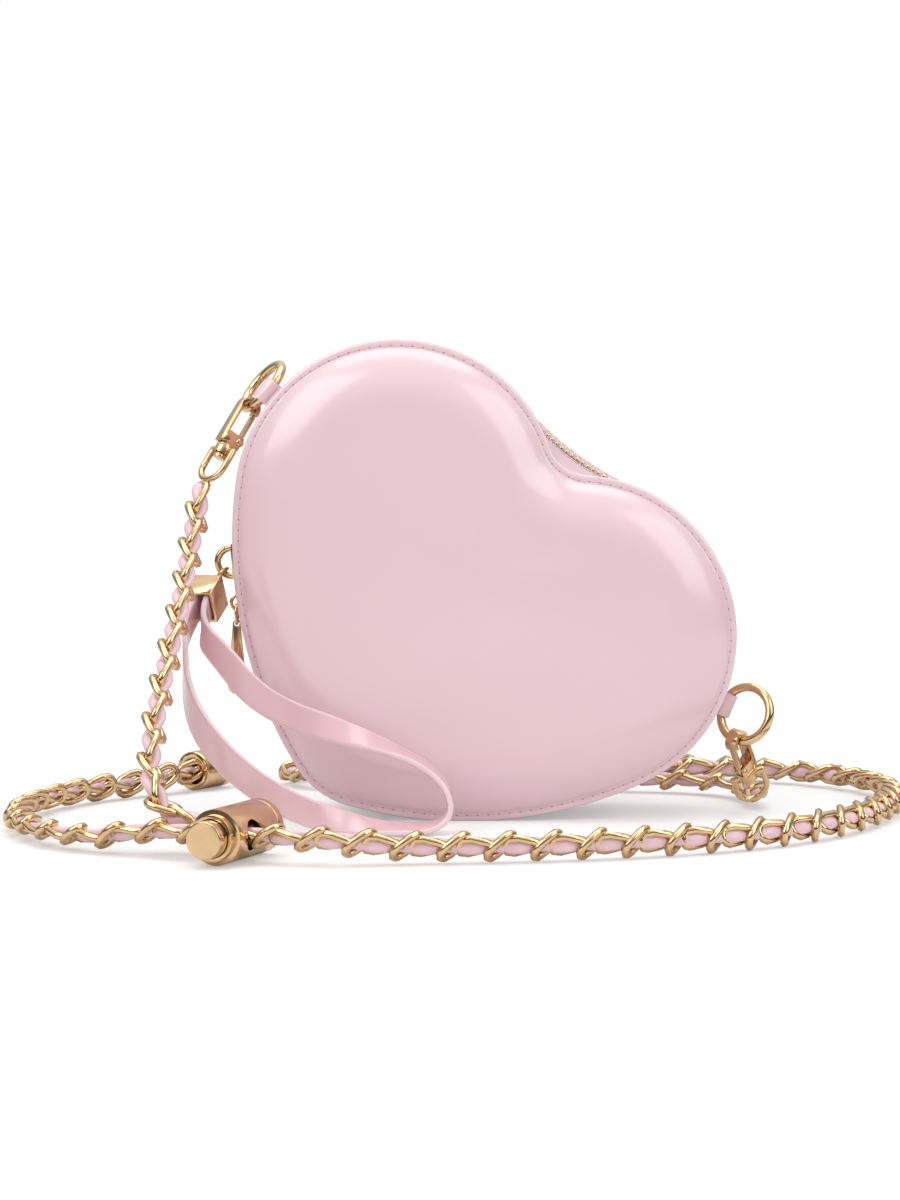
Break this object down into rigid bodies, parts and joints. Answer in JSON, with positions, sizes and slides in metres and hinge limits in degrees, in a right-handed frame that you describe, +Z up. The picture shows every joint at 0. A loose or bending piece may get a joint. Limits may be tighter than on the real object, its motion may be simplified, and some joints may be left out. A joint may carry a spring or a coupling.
{
  "type": "heart shaped purse",
  "caption": "Small heart shaped structured handbag with a zipped gusset, padded panels, a chain shoulder strap on swivel clasps, a chain stopper and a wrist loop.",
  "frame": {"origin": "middle of the flat patch under the heart on which the bag rests, on the mid plane between the panels", "axes": "+Z up, +Y from the front panel to the back panel, +X to the right as seen from the front"},
  "size_m": [0.3229, 0.2469, 0.1691],
  "materials": {
    "patent": "high gloss patent, powder pink",
    "board": "plain stiffener",
    "lining": "plain woven",
    "tape": "woven zip tape",
    "metal": "polished pale gold",
    "chain": "polished pale gold with a leather lace"
  },
  "bodies": {
    "bag": {"front_panel": "patent", "front_board": "board", "front_lining": "lining", "zip_strip_front": "patent", "zip_tape_front": "tape", "zip_teeth_front": "metal", "zip_stops": "metal", "lower_gusset": "patent", "gusset_lining": "lining", "back_panel_lower": "patent", "back_board_lower": "board", "back_lining_lower": "lining", "left_tab": "patent", "right_tab": "patent", "wrist_staple": "metal", "wrist_strap": "patent", "left_chain": "chain", "main_chain": "chain", "tail_chain": "chain", "end_cup": "metal"},
    "mouth": {"back_panel_upper": "patent", "back_board_upper": "board", "back_lining_upper": "lining", "zip_strip_back": "patent", "zip_tape_back": "tape", "zip_teeth_back": "metal"},
    "slider": {"zip_slider": "metal"},
    "pull": {"pull_ring": "metal", "pull_charm": "metal"},
    "left_strap_ring": {"left_ring": "metal", "left_hook": "metal", "left_gate_pin": "metal"},
    "left_clasp_gate": {"left_gate": "metal"},
    "left_clasp_eye": {"left_swivel_eye": "metal"},
    "right_strap_ring": {"right_ring": "metal", "right_hook": "metal", "right_gate_pin": "metal"},
    "right_clasp_gate": {"right_gate": "metal"},
    "right_clasp_eye": {"right_swivel_eye": "metal"},
    "wristlet": {"wrist_link": "metal", "wrist_lug": "metal", "wrist_clamp": "metal", "clamp_screw": "metal"},
    "stopper": {"stopper_barrel": "metal", "stopper_cap": "metal", "stopper_spring": "metal"},
    "button": {"stopper_button": "metal"}
  },
  "joints": [
    {"name": "mouth_open", "type": "hinge", "parent": "bag", "child": "mouth", "pos_m": [0, 0.032, 0.066], "axis": [-1, 0, 0], "range_deg": [0, 25]},
    {"name": "slider_run", "type": "hinge", "parent": "bag", "child": "slider", "pos_m": [0.07138, 0, 0.09862], "axis": [0, 1, 0], "range_deg": [0, 14]},
    {"name": "pull_swing", "type": "hinge", "parent": "slider", "child": "pull", "pos_m": [-0.08197, 0, 0.0751], "axis": [0, 1, 0], "range_deg": [0, 75]},
    {"name": "left_ring_swing", "type": "hinge", "parent": "bag", "child": "left_strap_ring", "pos_m": [-0.06945, -0.014, 0.15121], "axis": [0.6494, 0, 0.7604], "range_deg": [0, 60], "deforming": ["left_chain"]},
    {"name": "left_gate_open", "type": "hinge", "parent": "left_strap_ring", "child": "left_clasp_gate", "pos_m": [-0.08055, -0.0119, 0.13291], "axis": [0.4842, -0.8714, 0.0786], "range_deg": [0, 18], "stiffness_Nm_per_rad": 0.02, "springref_deg": -11.46},
    {"name": "left_swivel", "type": "hinge", "parent": "left_strap_ring", "child": "left_clasp_eye", "pos_m": [-0.07692, -0.00876, 0.14539], "axis": [0.4597, 0.3298, 0.8245], "continuous": true},
    {"name": "right_ring_swing", "type": "hinge", "parent": "bag", "child": "right_strap_ring", "pos_m": [0.09356, -0.006, 0.03966], "axis": [-0.4179, 0, -0.9085], "range_deg": [-25, 12], "deforming": ["main_chain"]},
    {"name": "right_gate_open", "type": "hinge", "parent": "right_strap_ring", "child": "right_clasp_gate", "pos_m": [0.09903, -0.00635, 0.01555], "axis": [-0.7547, 0.6239, 0.203], "range_deg": [0, 18], "stiffness_Nm_per_rad": 0.02, "springref_deg": -11.46},
    {"name": "right_swivel", "type": "hinge", "parent": "right_strap_ring", "child": "right_clasp_eye", "pos_m": [0.09705, -0.01255, 0.02724], "axis": [-0.2945, -0.5986, 0.745], "continuous": true},
    {"name": "wristlet_swing", "type": "hinge", "parent": "bag", "child": "wristlet", "pos_m": [-0.08579, -0.014, 0.08724], "axis": [0.7414, 0, -0.671], "range_deg": [-10, 10], "deforming": ["wrist_strap"]},
    {"name": "stopper_slide", "type": "slide", "parent": "bag", "child": "stopper", "axis": [0.9239, -0.3827, 0], "range_m": [-0.005, 0.005], "deforming": ["left_chain"]},
    {"name": "button_press", "type": "slide", "parent": "stopper", "child": "button", "axis": [0.3827, 0.9239, 0], "range_m": [0, 0.003], "stiffness_N_per_m": 800, "springref_m": -0.002, "deforming": ["stopper_spring"]}
  ]
}
